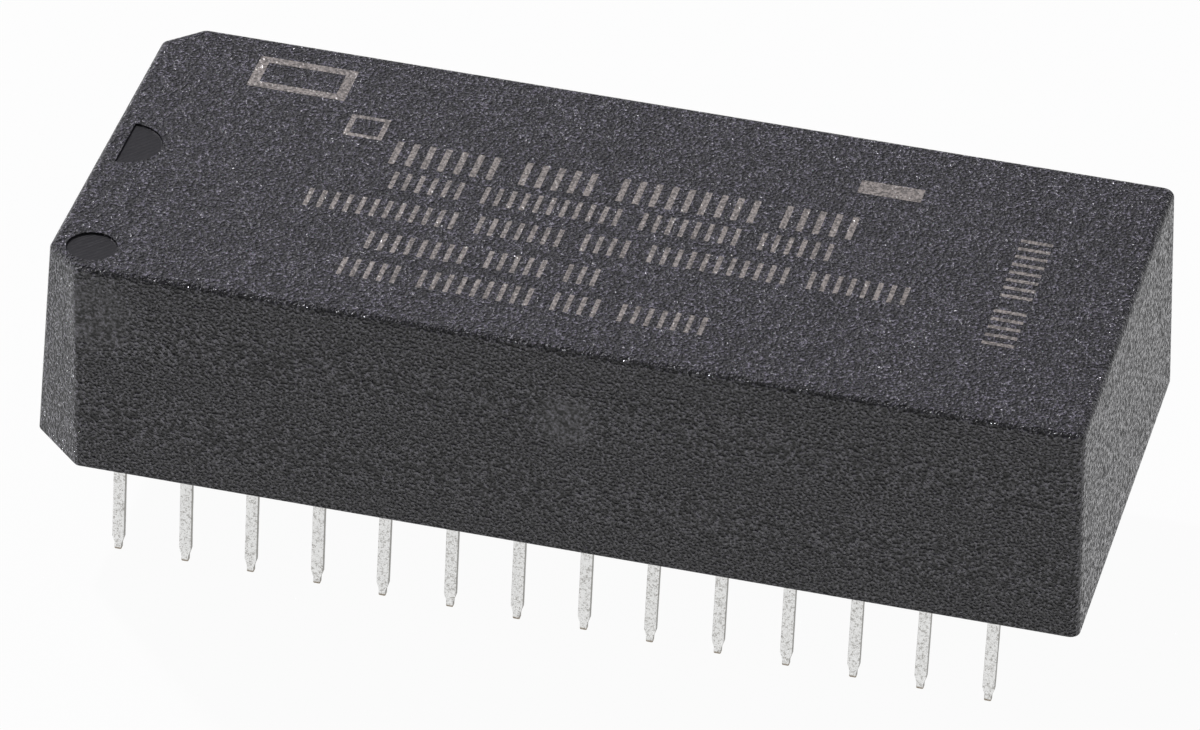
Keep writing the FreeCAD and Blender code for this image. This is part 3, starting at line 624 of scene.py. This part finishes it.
def make_cap():
    """The cap as one closed shell, with its sunk marks, and its laser marks as faces of the top."""
    shape = bmesh.new()
    top = RIM_LEVEL + CAP_HEIGHT
    outlines = [
        (CAP_HEIGHT - WALL, WALL, 0.15, 0.15), (0.05, WALL, 0.15, 0.15), (0.0, WALL - 0.04, 0.17, 0.17),
        (0.0, 0.06, 0.34, 0.24), (0.02, 0.018, 0.38, 0.28), (0.06, 0.0, SQUARE_ROUND, BEVEL_ROUND),
        (CAP_HEIGHT - TOP_ROUND, 0.0, SQUARE_ROUND, BEVEL_ROUND),
    ]
    for turn in map(math.radians, range(15, 91, 15)):
        inset = TOP_ROUND * (1 - math.cos(turn))
        outlines.append((CAP_HEIGHT - TOP_ROUND * (1 - math.sin(turn)), inset,
                         SQUARE_ROUND - 0.6 * inset, BEVEL_ROUND - 0.6 * inset))
    outlines.append((CAP_HEIGHT, 0.27, 0.24, 0.14))
    rings = [add_loop(shape, cap_ring(*outline)) for outline in outlines]
    for lower, upper in zip(rings, rings[1:]):
        bridge(shape, lower, upper)
    shape.faces.new(rings[0])
    holes = []
    for outline in (half_round, dimple):
        loops = [add_loop(shape, [(x, y, top - depth) for x, y in outline(grow)])
                 for grow, depth in RECESS_EDGE]
        for i, (upper, lower) in enumerate(zip(loops, loops[1:])):
            bridge(shape, upper, lower, material=SUNK if i >= RIM_OF_RECESS else GRAINED)
        shape.faces.new(loops[-1]).material_index = SUNK
        holes.append(loops[0])
    for outer, bare in mark_outlines():
        outer_loop = add_loop(shape, [(x, y, top) for x, y in outer])
        if bare:
            inner_loop = add_loop(shape, [(x, y, top) for x, y in bare])
            fill(shape, [outer_loop, inner_loop], MARKED)
            fill(shape, [inner_loop], GRAINED)
        else:
            fill(shape, [outer_loop], MARKED)
        holes.append(outer_loop)
    fill(shape, [rings[-1]] + holes, GRAINED)
    return to_mesh(shape, "cap_shell", sharp_angle=60)


def eroded_plastic(name, low, high, painted_pit_shade, painted_glint, blotch, depth):
    """Grained black plastic, or the same grain where the laser has paled it. The grain's pits carry painted
    shade, and its peaks carry painted glints that are strongest on the top.
    """
    material, tree, surface, coordinates = new_material(name)
    endways = arithmetic(tree, "ABSOLUTE", normal_along(tree, "X"))
    laid = add_node(tree, "ShaderNodeVectorMath", {
        0: coordinates, "Scale": spread(tree, endways, 1.0, END_GRAIN, 0.80, 0.90),
    }, operation="SCALE").outputs["Vector"]
    grain = speckle(tree, laid, GRAIN_SCALE, 1.0, 0.5)
    craters = add_node(tree, "ShaderNodeTexVoronoi", {
        "Vector": laid, "Scale": CRATER_SCALE, "Smoothness": 0.3,
    }, feature="SMOOTH_F1").outputs["Distance"]
    height = add_node(tree, "ShaderNodeMix", {"Factor": 0.4, "A": grain, "B": craters}).outputs["Result"]
    worn_spots = []
    for spot, size in WORN_SPOTS:
        away = add_node(tree, "ShaderNodeVectorMath", {0: coordinates, 1: spot}, operation="DISTANCE")
        worn_spots.append(spread(tree, away.outputs["Value"], 0.25, 1.0, size * 0.5, size * 1.3))
    relief(tree, surface, height, depth, arithmetic(tree, "MULTIPLY", *worn_spots))
    wide = speckle(tree, coordinates, blotch, 3.0)
    # Painted shade: where the grain is low, its pits are painted a dark colour.
    pit_shaded_colour = add_node(tree, "ShaderNodeMixRGB", {
        "Fac": spread(tree, grain, 1.0, 0.0, 0.43, 0.53), "Color1": ramp(tree, wide, low, high, 0.3, 0.7),
        "Color2": (*painted_pit_shade, 1),
    })
    # Painted glints: where the grain is high, its peaks are painted pale, fully on faces that look up and
    # half as much on the walls.
    glint_weight_on_top = spread(tree, normal_along(tree, "Z"), 0.5, 1.0, 0.93, 0.98)
    glinted_colour = add_node(tree, "ShaderNodeMixRGB", {
        "Fac": arithmetic(tree, "MULTIPLY", spread(tree, grain, 0.0, 1.0, 0.58, 0.68), glint_weight_on_top),
        "Color1": pit_shaded_colour.outputs["Color"], "Color2": (*painted_glint, 1),
    })
    tree.links.new(glinted_colour.outputs["Color"], surface.inputs["Base Color"])
    tree.links.new(spread(tree, grain, 0.70, 0.14, 0.40, 0.60), surface.inputs["Roughness"])
    surface.inputs["IOR"].default_value = 1.7
    return material


cap_plastic = eroded_plastic("cap_plastic", low=(0.027, 0.025, 0.033), high=(0.036, 0.033, 0.042),
                             painted_pit_shade=(0.002, 0.002, 0.002), painted_glint=(0.34, 0.32, 0.38), blotch=300, depth=0.00021)
laser_mark = eroded_plastic("laser_mark", low=(0.38, 0.335, 0.295), high=(0.46, 0.405, 0.355),
                            painted_pit_shade=(0.18, 0.16, 0.14), painted_glint=(0.56, 0.50, 0.44), blotch=5000, depth=0.00006)

turned_floor, tree, surface, coordinates = new_material("recess_floor")
rings = add_node(tree, "ShaderNodeTexWave", {
    "Vector": coordinates, "Scale": 3200.0, "Distortion": 1.5, "Detail": 2.0,
}, wave_type="BANDS", bands_direction="Y").outputs["Fac"]
surface.inputs["Base Color"].default_value = (0.010, 0.0095, 0.012, 1)
surface.inputs["Specular IOR Level"].default_value = 0.3
tree.links.new(spread(tree, rings, 0.34, 0.46), surface.inputs["Roughness"])
relief(tree, surface, rings, 0.00001)

cap = add_object("cap_shell", make_cap(), cap_plastic, turned_floor, laser_mark)
cap.modifiers.new("even_shading", "WEIGHTED_NORMAL").keep_sharp = True
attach(cap, "root")
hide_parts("cap")

# Potting
# Black epoxy is poured into the upturned cap round the package and the cell. It sets with a glossy,
# slightly wavy surface that creeps up the cap's wall, the package's sides and each lead.

potting, tree, surface, coordinates = new_material("potting_epoxy")
haze = speckle(tree, coordinates, 700, 3.0)
surface.inputs["Base Color"].default_value = (0.010, 0.010, 0.011, 1)
tree.links.new(spread(tree, haze, 0.10, 0.28, 0.3, 0.7), surface.inputs["Roughness"])
relief(tree, surface, haze, 0.00003, 0.5)
dress(potting, "potting")

POTTING_LEVEL = RIM_LEVEL + 0.45
PACKAGE_HALF_LENGTH = 18.145
PACKAGE_HALF_WIDTH = 6.79
HIDDEN_EDGE = 0.06


def climb(height, away, reach):
    """How far the resin creeps up a wall at a distance away from it."""
    return height * math.exp(-max(away, 0) / reach)


def make_potting_surface():
    """Thin set surface between the cap's wall and the package. Its edges are hidden in both."""
    shape = bmesh.new()
    around, across = 560, 12
    half_x, half_y = CAP_HALF_LENGTH - WALL + HIDDEN_EDGE, CAP_HALF_WIDTH - WALL + HIDDEN_EDGE
    inner_x, inner_y = PACKAGE_HALF_LENGTH - HIDDEN_EDGE, PACKAGE_HALF_WIDTH - HIDDEN_EDGE
    reach = BEVEL_REACH - (WALL - HIDDEN_EDGE) * math.sqrt(2)
    last_lead = (PINS_PER_SIDE - 1) / 2
    grid = []
    for row in range(across + 1):
        share = row / across
        size_x = half_x + (inner_x - half_x) * share
        size_y = half_y + (inner_y - half_y) * share
        ring = []
        for step in range(around):
            run = 4 * step / around
            side, along = int(run), run % 1 * 2 - 1
            x, y = ((along, -1), (1, along), (-along, 1), (-1, -along))[side]
            x, y = x * size_x, y * size_y
            excess = -x + abs(y) - reach
            if excess > 0:
                x += excess / 2
                y -= math.copysign(excess / 2, y)
            ring.append((x, y))
        grid.append(ring)
    loops = []
    for ring in grid:
        loop = []
        for x, y in ring:
            to_wall = min(half_x - HIDDEN_EDGE - abs(x), half_y - HIDDEN_EDGE - abs(y),
                          (reach - HIDDEN_EDGE + x - abs(y)) / math.sqrt(2))
            to_package = max(abs(x) - PACKAGE_HALF_LENGTH, abs(y) - PACKAGE_HALF_WIDTH)
            nearest = max(-last_lead, min(last_lead, round(x / LEAD_PITCH - 0.5) + 0.5))
            gap_x = max(abs(x - nearest * LEAD_PITCH) - SHOULDER_HALF, 0)
            gap_y = max(abs(abs(y) - ROW_HALF_SPACING) - STRIP_HALF, 0)
            to_lead = math.hypot(gap_x, gap_y)
            creep = climb(0.16, to_wall, 0.20) + climb(0.11, to_package, 0.18) + climb(0.10, to_lead, 0.12)
            wave = 0.012 * (1 + noise.noise(Vector((x * 0.45, y * 0.45, 3.7))))
            loop.append((x, y, POTTING_LEVEL - 0.004 - creep - wave))
        loops.append(add_loop(shape, loop))
    backs = [add_loop(shape, [(*v.co.xy, POTTING_LEVEL + 0.05) for v in loop])
             for loop in (loops[0], loops[-1])]
    for lower, upper in zip(loops, loops[1:]):
        bridge(shape, lower, upper)
    bridge(shape, backs[0], loops[0])
    bridge(shape, loops[-1], backs[1])
    bridge(shape, backs[1], backs[0])
    return to_mesh(shape, "potting_surface")


set_surface = add_object("potting_surface", make_potting_surface(), potting)
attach(set_surface, "root")
